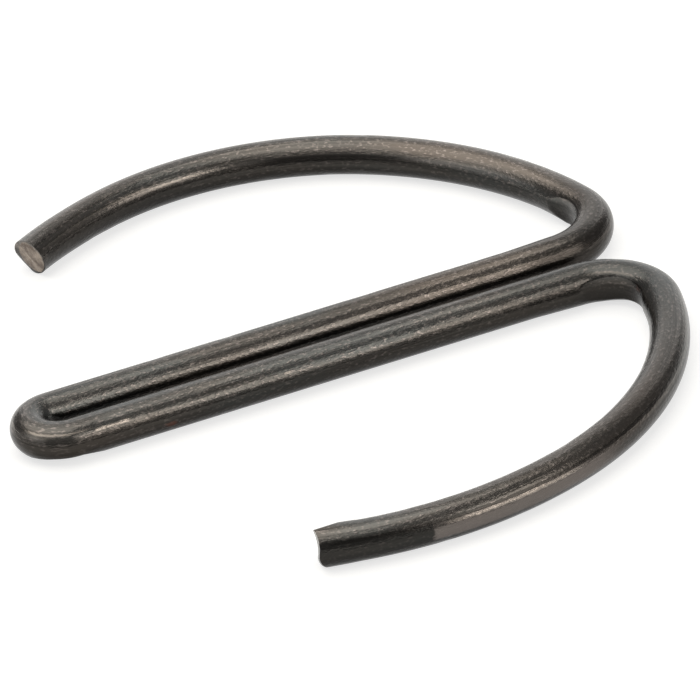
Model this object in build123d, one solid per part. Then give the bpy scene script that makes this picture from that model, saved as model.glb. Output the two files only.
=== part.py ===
from build123d import *
import os
from math import cos, degrees, radians, sin, tan

# Retaining ring for a square-drive impact socket: one length of round spring wire, bent flat.
# From end A the wire runs round the far half ring, turns a tight corner, crosses the socket
# as the far leg, doubles back in a hairpin, crosses again as the near leg, turns the near
# corner and runs round the near half ring to end B. Both ends are left as they were sheared.
# The frame: Z is the socket's axis, X runs along the legs away from the hairpin, +Y is the
# far half, and Z = 0 is the plane of the wire's centre line. Lengths are in mm, angles in degrees.

# The wire
wire_diameter = 2.4

# The hairpin and the two legs, which cross the socket side by side in place of a pin. The
# reach is the crown's distance from the socket's axis, and a leg's length is measured from
# the crown to its corner
hairpin_reach = 18.42
leg_spacing = 3.68
far_leg_length = 34.98
near_leg_length = 34.64

# The corners, where each leg turns into its half ring
far_corner_radius = 4.16
far_corner_angle = 100.6
near_corner_radius = 3.58
near_corner_angle = 104.1

# The half rings, arc after arc from the corner to the free end
far_first_radius = 21.9
far_first_angle = 39.0
far_middle_radius = 17.75
far_middle_angle = 57.35
far_last_radius = 23.35
far_last_angle = 17.8
near_first_radius = 21.4
near_first_angle = 54.1
near_last_radius = 24.0
near_last_angle = 41.0

# Metal that a corner heaps up on its inside, where the wire swells, and the stretch before and
# after the corner over which the wire comes back to its own size
corner_heap = 0.12
corner_blend = 3.0

# The flats that the bending pins pressed into the inside of the corners and of the hairpin
corner_flat_depth = 0.22
hairpin_flat_depth = 0.08

# The sheared ends. A turn says from where the blade came in: 0 is the outside of the ring,
# and 90 is the top of the wire
end_a_turn = -50.0
end_a_skew = 18.0
end_a_roll_over = 0.5
end_b_turn = 120.0
end_b_bevel_length = 1.2
end_b_bevel_depth = 0.22
end_b_notch_depth = 0.18
end_b_roll_over = 0.5
end_b_swell = 0.06
end_b_swell_length = 2.4

wire_radius = wire_diameter / 2
hairpin_radius = leg_spacing / 2
waste_reach = 2 * wire_diameter
rim_clearance = 0.05 * wire_diameter


def half_edges(side, leg_length, corner_radius, corner_angle, arcs):
    """Centre line from the hairpin to a free end: the leg, the corner with a blend before and
    after it, and the arcs. side is 1 for the far half and -1 for the near half."""
    leg_start = (hairpin_radius - hairpin_reach, side * hairpin_radius)
    straight_length = leg_length - hairpin_radius - corner_blend
    leg = PolarLine(leg_start, straight_length, angle=0)
    blend_in = PolarLine(leg @ 1, corner_blend, angle=0)
    corner = JernArc(blend_in @ 1, blend_in % 1, corner_radius, side * corner_angle)
    first_radius, first_angle = arcs[0]
    blend_angle = degrees(corner_blend / first_radius)
    edges = [leg, blend_in, corner, JernArc(corner @ 1, corner % 1, first_radius, side * blend_angle)]
    for radius, angle in [(first_radius, first_angle - blend_angle)] + arcs[1:]:
        edges.append(JernArc(edges[-1] @ 1, edges[-1] % 1, radius, side * angle))
    spare = Line(edges[-1] @ 1, edges[-1] @ 1 + (edges[-1] % 1) * wire_diameter)
    return edges, spare


def wire_section(edge, at, swell=0.0, shift=0.0):
    """Round section across the wire, larger in radius by swell and moved to the left by shift."""
    tangent = edge % at
    middle = edge @ at + Vector(-tangent.Y, tangent.X, 0) * shift
    return (Plane(origin=middle, x_dir=(0, 0, 1), z_dir=tangent) * Circle(wire_radius + swell)).face()


def round_wire(edges, swell=0.0):
    """Wire of one thickness along straight runs and arcs."""
    return sweep(wire_section(edges[0], 0, swell), path=Wire(edges))


def formed_corner(blend_in, bend, blend_out, side):
    """Swollen wire round a corner, between two blends that come from and go back to its own size."""
    swell, shift = corner_heap / 2, side * corner_heap / 2
    bend_start = wire_section(bend, 0, swell, shift)
    bend_end = wire_section(bend, 1, swell, shift)
    stretch = sweep(bend_start, path=Wire([bend]))
    stretch += Solid.sweep_multi([wire_section(blend_in, 0), bend_start], Wire([blend_in]))
    stretch += Solid.sweep_multi([bend_end, wire_section(blend_out, 1)], Wire([blend_out]))
    return stretch


def pinched_end(edge, spare):
    """The last of the wire at end B, which swelled as the blade came down, and what the blade took."""
    sections = [wire_section(edge, 0), wire_section(edge, 1, end_b_swell)]
    return Solid.sweep_multi(sections, Wire([edge])) + round_wire([spare], end_b_swell)


def pressed_flat(bend, depth):
    """The bending pin: it bears on the inside of the bend and has sunk in by depth."""
    pin_radius = bend.radius - wire_radius + depth
    return Location(bend.arc_center) * Cylinder(pin_radius, 2 * wire_diameter)


def blade_plane(spare, side, turn):
    """Plane of a shear cut: x leaves the wire's end, y points to where the blade came from."""
    tangent = spare % 0
    outside = Vector(tangent.Y, -tangent.X, 0) * side
    blade = outside * cos(radians(turn)) + Vector(0, 0, 1) * sin(radians(turn))
    return Plane(origin=spare @ 0, x_dir=tangent, z_dir=tangent.cross(blade))


def shear_a(spare):
    """Waste at end A: a slanting break, its rim rolled over where the blade came in."""
    slope = tan(radians(end_a_skew))
    with BuildSketch(blade_plane(spare, 1, end_a_turn)) as waste:
        with BuildLine():
            face_top = wire_radius - end_a_roll_over
            face = Line((waste_reach * slope, -waste_reach), (-face_top * slope, face_top))
            rim_end = (-wire_radius * slope - end_a_roll_over, wire_radius + rim_clearance)
            rim = TangentArc(face @ 1, rim_end, tangent=face % 1)
            Polyline(rim @ 1, (-waste_reach, waste_reach), (waste_reach, waste_reach), face @ 0)
        make_face()
    return extrude(waste.sketch, waste_reach, both=True)


def shear_b(spare):
    """Waste at end B: a bevel pinched by the blade, a hollow break, and a rim that rolled over."""
    with BuildSketch(blade_plane(spare, -1, end_b_turn)) as waste:
        with BuildLine():
            tip = (0, wire_radius - end_b_bevel_depth)
            bevel = Line((-2 * end_b_bevel_length, wire_radius + end_b_bevel_depth), tip)
            face_end = (-end_b_notch_depth / 2, end_b_roll_over - wire_radius)
            hollow = ThreePointArc(tip, (-end_b_notch_depth, end_b_bevel_depth), face_end)
            rim_end = (-end_b_roll_over - end_b_notch_depth, -wire_radius - rim_clearance)
            rim = TangentArc(hollow @ 1, rim_end, tangent=hollow % 1)
            Polyline(rim @ 1, (rim_end[0], -waste_reach), (waste_reach, -waste_reach),
                     (waste_reach, waste_reach), (-2 * end_b_bevel_length, waste_reach), bevel @ 0)
        make_face()
    return extrude(waste.sketch, waste_reach, both=True)


def retaining_ring():
    """The whole wire: stretches joined end to end, pin flats pressed in, and both ends sheared."""
    far = half_edges(1, far_leg_length, far_corner_radius, far_corner_angle,
                     [(far_first_radius, far_first_angle), (far_middle_radius, far_middle_angle),
                      (far_last_radius, far_last_angle)])
    swell_angle = degrees(end_b_swell_length / near_last_radius)
    near = half_edges(-1, near_leg_length, near_corner_radius, near_corner_angle,
                      [(near_first_radius, near_first_angle),
                       (near_last_radius, near_last_angle - swell_angle), (near_last_radius, swell_angle)])
    (far_edges, far_spare), (near_edges, near_spare) = far, near
    hairpin = JernArc(near_edges[0] @ 0, near_edges[0] % 0 * -1, hairpin_radius, -180)
    ring = round_wire([hairpin])
    pins = [pressed_flat(hairpin, hairpin_flat_depth)]
    for side, edges in ((1, far_edges), (-1, near_edges)):
        leg, blend_in, corner, blend_out = edges[:4]
        ring += round_wire([leg])
        ring += formed_corner(blend_in, corner, blend_out, side)
        pins.append(pressed_flat(corner, corner_flat_depth))
    ring += round_wire(far_edges[4:] + [far_spare])
    ring += round_wire(near_edges[4:-1])
    ring += pinched_end(near_edges[-1], near_spare)
    for pin in pins:
        ring -= pin
    ring -= shear_a(far_spare)
    ring -= shear_b(near_spare)
    return ring


os.makedirs("parts", exist_ok=True)
ring = retaining_ring()
export_step(ring, "parts/retaining_ring.step")
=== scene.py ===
from math import cos, pi, radians, sin

import bpy
from mathutils import Matrix, Vector


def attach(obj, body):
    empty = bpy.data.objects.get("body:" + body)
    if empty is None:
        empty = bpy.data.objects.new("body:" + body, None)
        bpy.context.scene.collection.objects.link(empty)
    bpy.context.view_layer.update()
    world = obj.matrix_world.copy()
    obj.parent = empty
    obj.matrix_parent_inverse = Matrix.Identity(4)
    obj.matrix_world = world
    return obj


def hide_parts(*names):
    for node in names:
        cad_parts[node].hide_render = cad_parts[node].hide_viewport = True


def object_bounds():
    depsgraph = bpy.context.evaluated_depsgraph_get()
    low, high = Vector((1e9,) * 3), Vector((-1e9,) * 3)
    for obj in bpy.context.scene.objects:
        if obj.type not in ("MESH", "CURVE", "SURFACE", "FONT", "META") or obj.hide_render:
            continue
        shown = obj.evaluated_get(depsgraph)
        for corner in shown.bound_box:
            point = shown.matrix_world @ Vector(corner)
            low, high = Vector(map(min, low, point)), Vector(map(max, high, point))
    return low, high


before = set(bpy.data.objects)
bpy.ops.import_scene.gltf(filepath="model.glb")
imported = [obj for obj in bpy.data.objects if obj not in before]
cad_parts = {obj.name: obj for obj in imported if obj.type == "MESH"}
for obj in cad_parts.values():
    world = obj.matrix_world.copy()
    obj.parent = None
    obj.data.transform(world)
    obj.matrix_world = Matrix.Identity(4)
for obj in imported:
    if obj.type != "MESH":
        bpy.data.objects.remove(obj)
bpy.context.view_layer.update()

scene = bpy.context.scene


# The centre line of the wire. The real ring starts as one straight length of spring wire, which
# is taken round forming pins on a bench former, so its line is a table of straight runs and
# bends. Lengths are in mm and turns in degrees, from the hairpin's crown out to each end.
WIRE_DIAMETER = 2.4
HAIRPIN_REACH = 18.42
LEG_SPACING = 3.68
FAR_LEG, NEAR_LEG = 34.98, 34.64
FAR_CORNER, NEAR_CORNER = (4.16, 100.6), (3.58, 104.1)
FAR_RING = ((21.9, 39.0), (17.75, 57.35), (23.35, 17.8))
NEAR_RING = ((21.4, 54.1), (24.0, 41.0))
RING_PITCH = 0.125

WIRE_RADIUS = WIRE_DIAMETER / 2
HAIRPIN_RADIUS = LEG_SPACING / 2


def lay_out(leg, corner, ring, side):
    """Points from the crown to one end, the corner's middle and its reach along the line, the
    whole length and the end's heading. side is 1 for the far half and -1 for the near half."""
    bends = [(HAIRPIN_RADIUS, -90.0), corner, *ring]
    steps = [(radius * radians(abs(turn)), turn * side) for radius, turn in bends]
    steps.insert(1, (leg - HAIRPIN_RADIUS, 0.0))
    at, heading = Vector((-HAIRPIN_REACH, 0.0, 0.0)), 90.0 * side
    points, step_ends = [at.copy()], []
    for length, turn in steps:
        count = max(1, round(length / RING_PITCH))
        for _ in range(count):
            middle = radians(heading + turn / count / 2)
            at += Vector((cos(middle), sin(middle), 0.0)) * length / count
            heading += turn / count
            points.append(at.copy())
        step_ends.append(at.copy())
    corner_start = steps[0][0] + steps[1][0]
    return {
        "points": points,
        "corner_middle": step_ends[1] + Vector((0.0, side * corner[0], 0.0)),
        "corner_reach": (corner_start, corner_start + steps[2][0]),
        "length": sum(length for length, turn in steps),
        "outward": Vector((cos(radians(heading)), sin(radians(heading)), 0.0)),
    }


far = lay_out(FAR_LEG, FAR_CORNER, FAR_RING, 1)
near = lay_out(NEAR_LEG, NEAR_CORNER, NEAR_RING, -1)

# Each end is closed by rings that shrink to its middle. They lie a micron apart, and the sheared
# face is drawn out of them further on. A few rings close before the end keep its rim sharp.
CLOSING_RINGS = 26
CLOSING_STEP = 0.001
CLOSING_POWER = 0.75
EDGE_RINGS = (0.012, 0.04, 0.08)


def closed_end(half):
    """(point, share of the full radius) from the last rings before the end to the end's middle."""
    end, outward = half["points"][-1], half["outward"]
    rings = [(end - outward * inset, 1.0) for inset in reversed(EDGE_RINGS)] + [(end, 1.0)]
    for k in range(1, CLOSING_RINGS + 1):
        rings.append((end + outward * CLOSING_STEP * k, (1 - k / CLOSING_RINGS) ** CLOSING_POWER))
    return rings


far_rings = [(point, 1.0) for point in reversed(far["points"][1:-1])]
near_rings = [(point, 1.0) for point in near["points"][:-1]]
rings = closed_end(far)[::-1] + far_rings + near_rings + closed_end(near)
line = bpy.data.curves.new("wire centre line", "CURVE")
line.dimensions = "3D"
line.twist_mode = "Z_UP"
spline = line.splines.new("POLY")
spline.points.add(len(rings) - 1)
for point, (middle, radius_share) in zip(spline.points, rings):
    point.co = (*middle, 1.0)
    point.radius = radius_share
wire = bpy.data.objects.new("retaining_ring_wire", line)
scene.collection.objects.link(wire)

# Where things lie along the wire, in mm from end A
end_a_at = CLOSING_RINGS * CLOSING_STEP
crown_at = end_a_at + far["length"]
end_b_at = crown_at + near["length"]
far_corner_at = (crown_at - far["corner_reach"][1], crown_at - far["corner_reach"][0])
near_corner_at = (crown_at + near["corner_reach"][0], crown_at + near["corner_reach"][1])


# The wire itself, hard-drawn through a die and tempered in oil. The die leaves shallow lines along
# it, the forming pins heap metal up inside the corners and press a flat there, and the blade that
# cut it off left a rolled rim, a slanting break and a burr at each end.
SPOKES = 72
CORNER_HEAP, CORNER_BLEND = 0.12, 3.0
CORNER_FLAT_DEPTH, HAIRPIN_FLAT_DEPTH = 0.22, 0.08
END_A_SHIFT, END_A_SHIFT_LENGTH = 0.1, 4.0
END_B_SWELL, END_B_SWELL_LENGTH = 0.06, 2.4


def add_node(tree, kind, inputs=(), **settings):
    """A new node with its settings. Each input is given a value, the socket that feeds it, or the
    node whose first output feeds it."""
    node = tree.nodes.new(kind)
    for name, value in settings.items():
        setattr(node, name, value)
    for key, value in inputs.items() if isinstance(inputs, dict) else enumerate(inputs):
        if isinstance(value, bpy.types.Node):
            value = value.outputs[0]
        if isinstance(value, bpy.types.NodeSocket):
            tree.links.new(value, node.inputs[key])
        else:
            node.inputs[key].default_value = value
    return node


def drawn_pattern(tree, place, along, across, detail, roughness):
    """Noise about 0.5 with so many cells a millimetre along the wire and across it."""
    cells = (along, across, across)
    place = add_node(tree, "ShaderNodeVectorMath", (place, cells), operation="MULTIPLY")
    inputs = {"Vector": place, "Scale": 1.0, "Detail": detail, "Roughness": roughness}
    return add_node(tree, "ShaderNodeTexNoise", inputs)


sweep = bpy.data.node_groups.new("sweep the drawn wire", "GeometryNodeTree")
sweep.is_modifier = True
sweep.interface.new_socket("Centre Line", in_out="INPUT", socket_type="NodeSocketGeometry")
sizes = {
    "Wire Radius": WIRE_RADIUS,
    "Draw Line Depth": 0.012,
    "Dent Depth": 0.02,
    "Face Grain Depth": 0.05,
}
for name, value in sizes.items():
    size = sweep.interface.new_socket(name, in_out="INPUT", socket_type="NodeSocketFloat")
    size.default_value = value
spokes = sweep.interface.new_socket("Spokes", in_out="INPUT", socket_type="NodeSocketInt")
spokes.default_value = SPOKES
sweep.interface.new_socket("Wire", in_out="OUTPUT", socket_type="NodeSocketGeometry")
given = add_node(sweep, "NodeGroupInput").outputs

kept = add_node(sweep, "GeometryNodeCaptureAttribute", (given["Centre Line"],))
for kind, name in (("VECTOR", "centre"), ("VECTOR", "tangent"), ("FLOAT", "along"), ("FLOAT", "share")):
    kept.capture_items.new(kind, name)
sources = (
    add_node(sweep, "GeometryNodeInputPosition").outputs[0],
    add_node(sweep, "GeometryNodeInputTangent").outputs[0],
    add_node(sweep, "GeometryNodeSplineParameter").outputs["Length"],
    add_node(sweep, "GeometryNodeInputRadius").outputs[0],
)
for slot, source in enumerate(sources, 1):
    sweep.links.new(source, kept.inputs[slot])
centre, tangent, along, share = (kept.outputs[slot] for slot in range(1, 5))
profile = add_node(sweep, "GeometryNodeCurvePrimitiveCircle",
                   {"Resolution": given["Spokes"], "Radius": given["Wire Radius"]})
tube = add_node(sweep, "GeometryNodeCurveToMesh",
                {"Curve": kept, "Profile Curve": profile, "Scale": share})

# Where each point lies in the wire's own section: right of the centre line, which is towards the
# inside of both half rings, and above it
position = add_node(sweep, "GeometryNodeInputPosition")
off_centre = add_node(sweep, "ShaderNodeVectorMath", (position, centre), operation="SUBTRACT")
right = add_node(sweep, "ShaderNodeVectorMath", (tangent, (0, 0, 1)), operation="CROSS_PRODUCT")
right = add_node(sweep, "ShaderNodeVectorMath", (right,), operation="NORMALIZE")
across = add_node(sweep, "ShaderNodeVectorMath", (off_centre, right), operation="DOT_PRODUCT")
across = across.outputs["Value"]
above = add_node(sweep, "ShaderNodeSeparateXYZ", (off_centre,)).outputs["Z"]
unbent = add_node(sweep, "ShaderNodeCombineXYZ", (along, across, above))


def stretch(first, last, blend):
    """1 between two places along the wire, down to 0 over a blend before and after them."""
    rise = add_node(sweep, "ShaderNodeMapRange", (along, first - blend, first, 0.0, 1.0))
    fall = add_node(sweep, "ShaderNodeMapRange", (along, last, last + blend, 1.0, 0.0))
    return add_node(sweep, "ShaderNodeMath", (rise, fall), operation="MULTIPLY")


# Corners swell towards their inside, and end B swelled all round as it was pinched off. End A
# stands a little outwards
far_bend = stretch(*far_corner_at, CORNER_BLEND)
near_bend = stretch(*near_corner_at, CORNER_BLEND)
corners = add_node(sweep, "ShaderNodeMath", (far_bend, near_bend), operation="ADD")
corner_swell = add_node(sweep, "ShaderNodeMath", (corners, CORNER_HEAP / 2), operation="MULTIPLY")
end_b_swell = add_node(sweep, "ShaderNodeMapRange",
                       (along, end_b_at - END_B_SWELL_LENGTH, end_b_at, 0.0, END_B_SWELL))
end_a_shift = add_node(sweep, "ShaderNodeMapRange", (along, 0.0, END_A_SHIFT_LENGTH, END_A_SHIFT, 0.0))
swell = add_node(sweep, "ShaderNodeMath", (corner_swell, end_b_swell), operation="ADD")

# Draw lines: noise that is short round the wire and long along it. Dents: rounder, and rarer
draw_lines = drawn_pattern(sweep, unbent, along=0.02, across=1.9, detail=3.0, roughness=0.6)
draw_lines = add_node(sweep, "ShaderNodeMath", (draw_lines, 0.5), operation="SUBTRACT")
draw_lines = add_node(sweep, "ShaderNodeMath", (draw_lines, given["Draw Line Depth"]), operation="MULTIPLY")
dents = drawn_pattern(sweep, unbent, along=0.35, across=0.8, detail=2.0, roughness=0.5)
dents = add_node(sweep, "ShaderNodeMapRange", (dents, 0.58, 0.75, 0.0, -1.0),
                 interpolation_type="SMOOTHSTEP")
relief = add_node(sweep, "ShaderNodeMath", (dents, given["Dent Depth"], draw_lines),
                  operation="MULTIPLY_ADD")
growth = add_node(sweep, "ShaderNodeMath", (swell, relief), operation="ADD")
growth = add_node(sweep, "ShaderNodeMath", (growth, given["Wire Radius"]), operation="DIVIDE")
growth = add_node(sweep, "ShaderNodeMath", (growth, 1.0), operation="ADD")
reach_right = add_node(sweep, "ShaderNodeMath", (across, growth), operation="MULTIPLY")
reach_up = add_node(sweep, "ShaderNodeMath", (above, growth), operation="MULTIPLY")

# Faint facets underneath, where the wire bore on the former's bed: (from and to along the wire),
# blend, lean in degrees from straight right, depth
BED_MARKS = (
    ((crown_at + 1.8, crown_at + 3.0), 1.5, -61.0, 0.15),
    ((near_corner_at[0] + 3.4, near_corner_at[1]), 2.0, -57.0, 0.16),
    (far_corner_at, 0.6, -61.0, 0.08),
)
for where, blend, lean, depth in BED_MARKS:
    lean_right, lean_up = cos(radians(lean)), sin(radians(lean))
    reach = add_node(sweep, "ShaderNodeMath", (reach_right, lean_right), operation="MULTIPLY")
    reach = add_node(sweep, "ShaderNodeMath", (reach_up, lean_up, reach), operation="MULTIPLY_ADD")
    limit = add_node(sweep, "ShaderNodeMath", (stretch(*where, blend), -depth), operation="MULTIPLY")
    limit = add_node(sweep, "ShaderNodeMath", (limit, swell), operation="ADD")
    limit = add_node(sweep, "ShaderNodeMath", (limit, given["Wire Radius"]), operation="ADD")
    beyond = add_node(sweep, "ShaderNodeMath", (reach, limit), operation="SUBTRACT")
    beyond = add_node(sweep, "ShaderNodeMath", (beyond, 0.0), operation="MAXIMUM")
    reach_right = add_node(sweep, "ShaderNodeMath", (beyond, -lean_right, reach_right),
                           operation="MULTIPLY_ADD")
    reach_up = add_node(sweep, "ShaderNodeMath", (beyond, -lean_up, reach_up),
                        operation="MULTIPLY_ADD")

reach_right = add_node(sweep, "ShaderNodeMath", (reach_right, corner_swell), operation="ADD")
reach_right = add_node(sweep, "ShaderNodeMath", (reach_right, end_a_shift), operation="SUBTRACT")
sideways = add_node(sweep, "ShaderNodeVectorMath", {0: right, "Scale": reach_right}, operation="SCALE")
upwards = add_node(sweep, "ShaderNodeCombineXYZ", {"Z": reach_up})
surface = add_node(sweep, "ShaderNodeVectorMath", (centre, sideways), operation="ADD")
surface = add_node(sweep, "ShaderNodeVectorMath", (surface, upwards), operation="ADD")

# Forming pins stand upright inside the corners and the hairpin, and the surface is pushed out of
# them. The near corner's pin had some play: it is smaller than its bend and bore on the bend's middle
NEAR_PIN_PLAY = 0.18
NEAR_PIN_SHIFT = Vector((0.28, 0.22, 0.0))
PIN_EDGE_BLEND = 0.1
hairpin_middle = Vector((HAIRPIN_RADIUS - HAIRPIN_REACH, 0.0, 0.0))
PINS = (
    (far["corner_middle"], FAR_CORNER[0] - WIRE_RADIUS + CORNER_FLAT_DEPTH),
    (near["corner_middle"] + NEAR_PIN_SHIFT, NEAR_CORNER[0] - WIRE_RADIUS - NEAR_PIN_PLAY),
    (hairpin_middle, HAIRPIN_RADIUS - WIRE_RADIUS + HAIRPIN_FLAT_DEPTH),
)
for middle, radius in PINS:
    off_pin = add_node(sweep, "ShaderNodeVectorMath", (surface, tuple(middle)), operation="SUBTRACT")
    off_pin = add_node(sweep, "ShaderNodeVectorMath", (off_pin, (1, 1, 0)), operation="MULTIPLY")
    distance = add_node(sweep, "ShaderNodeVectorMath", (off_pin,), operation="LENGTH").outputs["Value"]
    sunk = add_node(sweep, "ShaderNodeMath", (radius, distance), operation="SUBTRACT")
    sunk = add_node(sweep, "ShaderNodeMath", (sunk, 0.0, PIN_EDGE_BLEND), operation="SMOOTH_MAX")
    outward = add_node(sweep, "ShaderNodeVectorMath", (off_pin,), operation="NORMALIZE")
    push = add_node(sweep, "ShaderNodeVectorMath", {0: outward, "Scale": sunk}, operation="SCALE")
    surface = add_node(sweep, "ShaderNodeVectorMath", (surface, push), operation="ADD")

# The sheared ends. A profile says how far an end is cut back, from the side away from the blade
# at 0 to the side it came from at 1, as a share of its deepest cut, less the lead in mm by which
# the break stands out beyond the end of the centre line. A turn says from where the blade came
# in: 0 is the outside of the ring, and 90 is the top of the wire
SHEARS = {
    "a": {"turn": -46.0, "deepest": 1.01, "lead": 0.28, "profile": (
        (0.0, 0.0), (0.79, 0.61), (0.854, 0.674), (0.917, 0.772), (0.958, 0.865), (1.0, 1.0),
    )},
    "b": {"turn": 120.0, "deepest": 1.53, "lead": 0.08, "profile": (
        (0.0, 0.33), (0.02, 0.25), (0.06, 0.17), (0.12, 0.105), (0.18, 0.075), (0.24, 0.068),
        (0.341, 0.102), (0.46, 0.122), (0.587, 0.118), (0.7, 0.093), (0.817, 0.042), (0.889, 0.0),
        (1.0, 1.0),
    )},
}
SHEAR_REACH = 3.0


def sheared_end(surface, shear, inwards, direction):
    """Surface with an end's rings drawn back along the wire to the profile that the blade left.
    inwards is a point's distance from the end."""
    turn = radians(shear["turn"])
    blade_side = (0, -cos(turn), sin(turn))
    to_blade = add_node(sweep, "ShaderNodeVectorMath", (unbent, blade_side), operation="DOT_PRODUCT")
    height = add_node(sweep, "ShaderNodeMapRange",
                      (to_blade.outputs["Value"], -WIRE_RADIUS, WIRE_RADIUS, 0.0, 1.0))
    cut = add_node(sweep, "ShaderNodeFloatCurve", {"Value": height})
    curve = cut.mapping.curves[0]
    while len(curve.points) < len(shear["profile"]):
        curve.points.new(0.5, 0.5)
    for point, location in zip(curve.points, shear["profile"]):
        point.location = location
        point.handle_type = "VECTOR"
    cut.mapping.update()
    grain = drawn_pattern(sweep, unbent, along=3.5, across=3.5, detail=4.0, roughness=0.6)
    grain = add_node(sweep, "ShaderNodeMath", (grain, given["Face Grain Depth"]), operation="MULTIPLY")
    depth = add_node(sweep, "ShaderNodeMath", (cut, shear["deepest"], grain), operation="MULTIPLY_ADD")
    depth = add_node(sweep, "ShaderNodeMath", (depth, shear["lead"]), operation="SUBTRACT")
    fade = add_node(sweep, "ShaderNodeMapRange", (inwards, 0.0, SHEAR_REACH, direction, 0.0))
    depth = add_node(sweep, "ShaderNodeMath", (depth, fade), operation="MULTIPLY")
    move = add_node(sweep, "ShaderNodeVectorMath", {0: tangent, "Scale": depth}, operation="SCALE")
    return add_node(sweep, "ShaderNodeVectorMath", (surface, move), operation="ADD")


from_end_a = add_node(sweep, "ShaderNodeMath", (along, end_a_at), operation="SUBTRACT")
from_end_b = add_node(sweep, "ShaderNodeMath", (end_b_at, along), operation="SUBTRACT")
surface = sheared_end(surface, SHEARS["a"], from_end_a, 1.0)
surface = sheared_end(surface, SHEARS["b"], from_end_b, -1.0)

# The swept tube takes its surface, keeps its unbent coordinates for the material, and is turned
# from mm to metres
WELD_GAP = 0.0005
steel = bpy.data.materials.new("oil-tempered spring steel")
finished = add_node(sweep, "GeometryNodeSetPosition", {"Geometry": tube, "Position": surface})
finished = add_node(sweep, "GeometryNodeStoreNamedAttribute",
                    {"Geometry": finished, "Name": "unbent_mm", "Value": unbent},
                    data_type="FLOAT_VECTOR", domain="POINT")
finished = add_node(sweep, "GeometryNodeStoreNamedAttribute",
                    {"Geometry": finished, "Name": "share", "Value": share},
                    data_type="FLOAT", domain="POINT")
finished = add_node(sweep, "GeometryNodeMergeByDistance", {"Geometry": finished, "Distance": WELD_GAP})
finished = add_node(sweep, "GeometryNodeTransform", {"Geometry": finished, "Scale": (0.001, 0.001, 0.001)})
finished = add_node(sweep, "GeometryNodeSetShadeSmooth", {"Geometry": finished})
finished = add_node(sweep, "GeometryNodeRealizeInstances", {"Geometry": finished})
finished = add_node(sweep, "GeometryNodeSetMaterial", {"Geometry": finished, "Material": steel})
add_node(sweep, "NodeGroupOutput", (finished,))

modifier = wire.modifiers.new("sweep", "NODES")
modifier.node_group = sweep
depsgraph = bpy.context.evaluated_depsgraph_get()
mesh = bpy.data.meshes.new_from_object(wire.evaluated_get(depsgraph), depsgraph=depsgraph)
bpy.data.objects.remove(wire)
mesh.name = "retaining_ring_wire"
ring = bpy.data.objects.new("retaining_ring_wire", mesh)
scene.collection.objects.link(ring)
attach(ring, "root")
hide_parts("retaining_ring")


# The surface: oil-tempered spring steel. Drawing and hardening leave a thin dark oxide that is
# half metal to the eye, with a satin gloss drawn out along the wire. It is thinnest and brownest
# where the wire has been rubbed, and gone at the sheared ends. The colour also holds painted light:
# painted shade down the sides and underneath, in the corners and the hairpin's crook, and painted
# highlight lines and glints.
OXIDE_DARK = "#4A4743"
OXIDE_LIGHT = "#74706B"
OXIDE_BROWN = "#70675F"
OXIDE_BLUE = "#5F6362"
# Painted glints: light specks in the colour, standing in for highlights
PAINTED_GLINT = "#B1A6A0"
BARE_STEEL = "#8D8175"
TORN_STEEL = "#5F544B"
RUST = "#5A3527"
RUBBED = "#807873"
# Light lines, some of them painted highlights
LIGHT_LINE_AND_PAINTED_HIGHLIGHT = "#B5ABA1"
# Dark streaks, and painted shade where the wire lies in shade
DARK_STREAK_AND_PAINTED_SHADE = "#2B2927"

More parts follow.
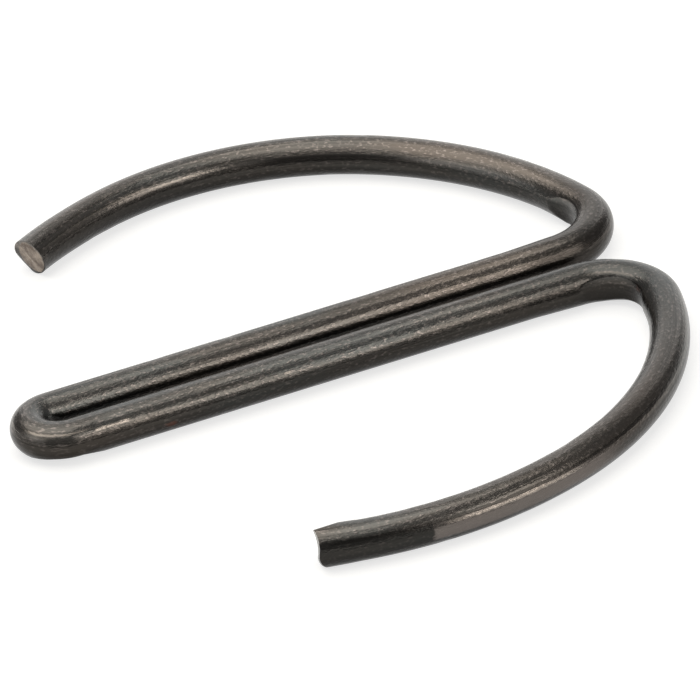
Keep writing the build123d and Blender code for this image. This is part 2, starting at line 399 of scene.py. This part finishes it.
# Marks along the wire: wear, rust and dark streaks that this ring picked up in use, and painted light,
# which is painted shade in the corners, the hairpin's crook, the far ring's inside by end A and the near
# corner's flat, and painted highlight lines along the far ring, the crown and the near corner: (from, to,
# and soft edges before and after in mm along the wire), (from, to and soft edge in degrees round it, 0 at
# the top and 90 on the inside), colour, amount
MARKS = (
    ((145.5, 156.2, 4.0, 0.15), (-108, -68, 12), RUBBED, 0.55),
    ((147.5, 155.0, 2.0, 0.6), (-72, -66, 3), LIGHT_LINE_AND_PAINTED_HIGHLIGHT, 0.7),
    ((133.0, 162.0, 2.0, 0.5), (-62, -56, 4), DARK_STREAK_AND_PAINTED_SHADE, 0.7),
    ((155.0, 162.8, 1.5, 0.1), (-70, -52, 8), DARK_STREAK_AND_PAINTED_SHADE, 0.5),
    # Painted shade: the far corner darkened all round and on its outside, the near corner and the ring past
    # it all round
    ((40.0, 46.5, 3.0, 4.0), (-180, 180, 1), DARK_STREAK_AND_PAINTED_SHADE, 0.35),
    ((41.0, 48.0, 2.0, 3.0), (-110, -45, 12), DARK_STREAK_AND_PAINTED_SHADE, 0.45),
    ((117.0, 142.0, 5.0, 6.0), (-180, 180, 1), DARK_STREAK_AND_PAINTED_SHADE, 0.28),
    ((156.3, 163.0, 0.2, 0.1), (-140, -58, 8), DARK_STREAK_AND_PAINTED_SHADE, 0.4),
    # Painted highlight lines along the far ring by end A
    ((0.8, 9.0, 0.8, 2.0), (51, 53, 3), LIGHT_LINE_AND_PAINTED_HIGHLIGHT, 0.2),
    ((11.0, 15.0, 1.5, 2.0), (60, 63, 3), LIGHT_LINE_AND_PAINTED_HIGHLIGHT, 0.25),
    ((18.8, 26.0, 2.0, 3.0), (64, 76, 8), DARK_STREAK_AND_PAINTED_SHADE, 0.7),
    # Painted shade in the hairpin's crook
    ((79.5, 83.5, 0.5, 0.5), (-130, -75, 10), DARK_STREAK_AND_PAINTED_SHADE, 0.4),
    # A painted highlight line on the hairpin's crown
    ((84.2, 86.3, 0.6, 1.0), (43, 46, 3), LIGHT_LINE_AND_PAINTED_HIGHLIGHT, 0.5),
    ((87.4, 89.2, 0.3, 0.4), (50, 55, 3), LIGHT_LINE_AND_PAINTED_HIGHLIGHT, 0.8),
    ((99.5, 99.8, 0.2, 0.2), (56, 60, 3), LIGHT_LINE_AND_PAINTED_HIGHLIGHT, 0.4),
    # A painted highlight line above the near corner's pressed flat
    ((119.6, 122.6, 1.0, 1.0), (40, 43, 3), LIGHT_LINE_AND_PAINTED_HIGHLIGHT, 0.15),
    # Painted shade on the far ring's inside by end A, and low on the near corner's inside, over its flat
    ((0.7, 10.0, 0.3, 5.0), (68, 130, 10), DARK_STREAK_AND_PAINTED_SHADE, 0.55),
    ((119.0, 130.0, 1.2, 4.0), (96, 170, 10), DARK_STREAK_AND_PAINTED_SHADE, 0.6),
    ((91.8, 92.1, 0.3, 0.3), (100, 108, 6), RUST, 0.4),
    # Painted shade along the top edge of the near corner's flat
    ((119.8, 124.6, 0.8, 0.8), (57, 66, 4), DARK_STREAK_AND_PAINTED_SHADE, 0.4),
    ((124.1, 124.7, 0.3, 0.3), (62, 72, 6), RUST, 0.5),
)


def hex_colour(code):
    """Linear RGBA of an sRGB hex value."""
    parts = [int(code[i:i + 2], 16) / 255 for i in (1, 3, 5)]
    return tuple(c / 12.92 if c <= 0.04045 else ((c + 0.055) / 1.055) ** 2.4 for c in parts) + (1.0,)


steel.use_nodes = True
look = steel.node_tree
skin = look.nodes["Principled BSDF"]
unbent_mm = add_node(look, "ShaderNodeAttribute", attribute_name="unbent_mm").outputs["Vector"]
section = add_node(look, "ShaderNodeSeparateXYZ", (unbent_mm,)).outputs
face_share = add_node(look, "ShaderNodeAttribute", attribute_name="share").outputs["Fac"]
run = section["X"]
lean = add_node(look, "ShaderNodeMath", (section["Y"], section["Z"]), operation="ARCTAN2")
lean = add_node(look, "ShaderNodeMath", (lean,), operation="DEGREES")

# The oxide, from its dark ground up, with painted glints among it, light specks that stand in for
# highlights: (colour, the pattern it follows, where in the pattern it starts and is full, the most
# that it covers). The die lines lie about 0.25 mm apart, and the painted glints are as coarse as
# they show in the photograph
die_lines = drawn_pattern(look, unbent_mm, along=0.045, across=4.2, detail=4.0, roughness=0.6)
grains = drawn_pattern(look, unbent_mm, along=3.6, across=6.5, detail=2.5, roughness=0.6)
patches = drawn_pattern(look, unbent_mm, along=0.06, across=0.5, detail=3.0, roughness=0.5)
rust_spots = drawn_pattern(look, unbent_mm, along=0.5, across=0.9, detail=3.0, roughness=0.7)
OXIDE_AND_PAINTED_GLINT_LAYERS = (
    (OXIDE_LIGHT, die_lines, 0.32, 0.7, 1.0),
    (OXIDE_BROWN, patches, 0.5, 0.68, 0.6),
    (OXIDE_BLUE, patches, 0.48, 0.34, 0.6),
    (PAINTED_GLINT, grains, 0.54, 0.68, 0.4),
    (RUST, rust_spots, 0.72, 0.8, 0.7),
)
colour = hex_colour(OXIDE_DARK)
for code, pattern, start, full, most in OXIDE_AND_PAINTED_GLINT_LAYERS:
    amount = add_node(look, "ShaderNodeMapRange", (pattern, start, full, 0.0, most))
    colour = add_node(look, "ShaderNodeMix", {0: amount, 6: colour, 7: hex_colour(code)},
                      data_type="RGBA").outputs[2]

# Painted shade: the colour darkens down the wire's sides, and again under its belly, as shade there.
# Heights are in mm from the centre line, and a share is what is left of the colour below each stretch
SIDE_TOP, SIDE_BOTTOM, SIDE_SHARE = 0.5, 0.26, 0.3
BELLY_TOP, BELLY_BOTTOM, BELLY_SHARE = 0.0, -0.7, 0.35
side = add_node(look, "ShaderNodeMapRange", (section["Z"], SIDE_BOTTOM, SIDE_TOP, SIDE_SHARE, 1.0))
painted_belly_shade = add_node(look, "ShaderNodeMapRange", (section["Z"], BELLY_BOTTOM, BELLY_TOP, BELLY_SHARE, 1.0))
painted_underside_shade = add_node(look, "ShaderNodeMath", (side, painted_belly_shade), operation="MULTIPLY")
shade = add_node(look, "ShaderNodeCombineColor", (painted_underside_shade, painted_underside_shade, painted_underside_shade))
colour = add_node(look, "ShaderNodeMix", {0: 1.0, 6: colour, 7: shade},
                  data_type="RGBA", blend_type="MULTIPLY").outputs[2]

# The marks' edges are ragged by so many mm along the wire and degrees round it
RAGGED_RUN, RAGGED_LEAN = 0.6, 7.0


def between(value, first, last, before, after):
    """1 from first to last, down to 0 over a soft edge before and after them."""
    rise = add_node(look, "ShaderNodeMapRange", (value, first - before, first, 0.0, 1.0),
                    interpolation_type="SMOOTHSTEP")
    fall = add_node(look, "ShaderNodeMapRange", (value, last, last + after, 1.0, 0.0),
                    interpolation_type="SMOOTHSTEP")
    return add_node(look, "ShaderNodeMath", (rise, fall), operation="MULTIPLY")


ragged = add_node(look, "ShaderNodeMath", (grains, 0.5), operation="SUBTRACT")
marked_run = add_node(look, "ShaderNodeMath", (ragged, RAGGED_RUN, run), operation="MULTIPLY_ADD")
marked_lean = add_node(look, "ShaderNodeMath", (ragged, RAGGED_LEAN, lean), operation="MULTIPLY_ADD")
for (first, last, before, after), (low, high, soft), code, most in MARKS:
    along_it = between(marked_run, first, last, before, after)
    round_it = between(marked_lean, low, high, soft, soft)
    amount = add_node(look, "ShaderNodeMath", (along_it, round_it), operation="MULTIPLY")
    amount = add_node(look, "ShaderNodeMath", (amount, most), operation="MULTIPLY")
    colour = add_node(look, "ShaderNodeMix", {0: amount, 6: colour, 7: hex_colour(code)},
                      data_type="RGBA").outputs[2]

# The sheared faces are bare inside a rim of oxide, which is widest on end A's outer side and
# ragged. End B's face keeps mostly the oxide's colour, and shows little bare steel
RIM_SIDE, RIM_WIDENING = (0.0, -0.94, -0.34), 0.34
RIM_START, RIM_END, RIM_RAGGED = 0.96, 0.9, 0.15
END_B_BARE = 0.15
HALF_WAY, PAST_HALF_WAY = 80.0, 81.0
to_rim = add_node(look, "ShaderNodeVectorMath", (unbent_mm, RIM_SIDE), operation="DOT_PRODUCT")
to_rim = add_node(look, "ShaderNodeMath", (to_rim.outputs["Value"], 0.0), operation="MAXIMUM")
rim_share = add_node(look, "ShaderNodeMath", (to_rim, RIM_WIDENING, face_share), operation="MULTIPLY_ADD")
rim_share = add_node(look, "ShaderNodeMath", (ragged, RIM_RAGGED, rim_share), operation="MULTIPLY_ADD")
face = add_node(look, "ShaderNodeMapRange", (rim_share, RIM_START, RIM_END, 0.0, 1.0))
bareness = add_node(look, "ShaderNodeMapRange", (run, HALF_WAY, PAST_HALF_WAY, 1.0, END_B_BARE))
face = add_node(look, "ShaderNodeMath", (face, bareness), operation="MULTIPLY")
torn = drawn_pattern(look, unbent_mm, along=1.6, across=1.6, detail=3.0, roughness=0.65)
torn = add_node(look, "ShaderNodeMapRange", (torn, 0.38, 0.6, 0.0, 1.0))
bare = add_node(look, "ShaderNodeMix", {0: torn, 6: hex_colour(TORN_STEEL), 7: hex_colour(BARE_STEEL)},
                data_type="RGBA").outputs[2]
colour = add_node(look, "ShaderNodeMix", {0: face, 6: colour, 7: bare}, data_type="RGBA").outputs[2]

# The gloss is satin, drawn out by the die lines, and broken by grit. Heights are in metres
GRIT_HEIGHT, LINE_HEIGHT = 0.000024, 0.000018
gloss = add_node(look, "ShaderNodeMapRange", (die_lines, 0.3, 0.7, 0.3, 0.2))
grit = add_node(look, "ShaderNodeBump", {"Strength": 1.0, "Distance": GRIT_HEIGHT, "Height": grains})
lines = add_node(look, "ShaderNodeBump",
                 {"Strength": 1.0, "Distance": LINE_HEIGHT, "Height": die_lines, "Normal": grit})
skin.inputs["Metallic"].default_value = 0.95
look.links.new(colour, skin.inputs["Base Color"])
look.links.new(gloss.outputs[0], skin.inputs["Roughness"])
look.links.new(lines.outputs[0], skin.inputs["Normal"])


# The floor: a sheet of matt card, far wider than the view. Its own tone is a pale grey. Seen
# directly or in a gloss it is lifted to paper white, and it keeps the soft shadow under the wire.
CARD_REACH = 3.0
CARD_LIFT = 0.7
floor_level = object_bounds()[0][2]
card_mesh = bpy.data.meshes.new("white_card")
card_corners = [(-CARD_REACH, -CARD_REACH, floor_level), (CARD_REACH, -CARD_REACH, floor_level),
                (CARD_REACH, CARD_REACH, floor_level), (-CARD_REACH, CARD_REACH, floor_level)]
card_mesh.from_pydata(card_corners, [], [(0, 1, 2, 3)])
card = bpy.data.objects.new("white_card", card_mesh)
scene.collection.objects.link(card)
paper = bpy.data.materials.new("matt white card")
paper.use_nodes = True
sheet = paper.node_tree
matt = sheet.nodes["Principled BSDF"]
matt.inputs["Base Color"].default_value = hex_colour("#B4B4B2")
matt.inputs["Roughness"].default_value = 0.9
matt.inputs["Specular IOR Level"].default_value = 0.1
rays = add_node(sheet, "ShaderNodeLightPath").outputs
seen = add_node(sheet, "ShaderNodeMath", (rays["Is Camera Ray"], rays["Is Glossy Ray"]), operation="ADD")
seen = add_node(sheet, "ShaderNodeMath", (seen, rays["Is Transmission Ray"]),
                operation="ADD", use_clamp=True)
lift = add_node(sheet, "ShaderNodeMath", (seen, CARD_LIFT), operation="MULTIPLY")
glow = add_node(sheet, "ShaderNodeEmission", {"Strength": lift})
both = add_node(sheet, "ShaderNodeAddShader", (matt, glow))
sheet.links.new(both.outputs[0], sheet.nodes["Material Output"].inputs[0])
card_mesh.materials.append(paper)


# The light: soft boxes in a dim white room, each set by the bearing it stands at in degrees from the
# front, -Y, towards +X, its height in degrees, distance, width, height, brightness and colour. The
# legs show the overhead box and the one at the front right as two bright lines with a dark one between.
ROOM = 0.2
SOFT_BOXES = {
    "overhead box": {"bearing": -130.0, "lift": 73.0, "distance": 1.0,
                     "size": (1.4, 1.4), "radiance": 1.6, "tint": "#FFFBF5"},
    "front right box": {"bearing": 34.0, "lift": 28.0, "distance": 1.2,
                        "size": (0.75, 0.65), "radiance": 2.35, "tint": "#FFF9F2"},
    "left card": {"bearing": -90.0, "lift": 22.0, "distance": 1.2,
                  "size": (1.0, 0.5), "radiance": 0.7, "tint": "#FFFFFF"},
    "back card": {"bearing": 150.0, "lift": 22.0, "distance": 1.2,
                  "size": (1.3, 0.9), "radiance": 0.88, "tint": "#FFFFFF"},
}


def direction_at(bearing, lift):
    """Unit vector from the ring towards something at a bearing from the front and a height."""
    return Vector((sin(bearing) * cos(lift), -cos(bearing) * cos(lift), sin(lift)))


room = bpy.data.worlds.new("white room")
room.use_nodes = True
room.node_tree.nodes["Background"].inputs["Color"].default_value = (1.0, 1.0, 1.0, 1.0)
room.node_tree.nodes["Background"].inputs["Strength"].default_value = ROOM
scene.world = room
for name, box in SOFT_BOXES.items():
    lamp = bpy.data.lights.new(name, "AREA")
    lamp.shape = "RECTANGLE"
    lamp.size, lamp.size_y = box["size"]
    lamp.energy = box["radiance"] * pi * box["size"][0] * box["size"][1]
    lamp.color = hex_colour(box["tint"])[:3]
    stand = bpy.data.objects.new(name, lamp)
    bearing, lift = radians(box["bearing"]), radians(box["lift"])
    stand.location = direction_at(bearing, lift) * box["distance"]
    stand.rotation_euler = (pi / 2 - lift, 0.0, bearing)
    scene.collection.objects.link(stand)


# The camera: a long lens, looking down on the wire from the hairpin's left and a little rolled, as
# the photograph was taken.
VIEW_BEARING, VIEW_LIFT, VIEW_ROLL = radians(-22.195), radians(29.083), radians(-5.848)
VIEW_TARGET = Vector((0.0015307, -0.0014058, 0.0))
VIEW_DISTANCE = 0.8
LENS_LENGTH, SENSOR_WIDTH = 697.18, 36.0
to_camera = direction_at(VIEW_BEARING, VIEW_LIFT)
view_right = Vector((cos(VIEW_BEARING), sin(VIEW_BEARING), 0.0))
view_turn = Matrix((view_right, to_camera.cross(view_right), to_camera)).transposed()
view_turn = view_turn @ Matrix.Rotation(VIEW_ROLL, 3, "Z")
camera = bpy.data.cameras.new("camera")
camera.lens = LENS_LENGTH
camera.sensor_width = SENSOR_WIDTH
eye = bpy.data.objects.new("camera", camera)
eye.matrix_world = Matrix.Translation(VIEW_TARGET + to_camera * VIEW_DISTANCE) @ view_turn.to_4x4()
scene.collection.objects.link(eye)
scene.camera = eye
scene.view_settings.view_transform = "Standard"
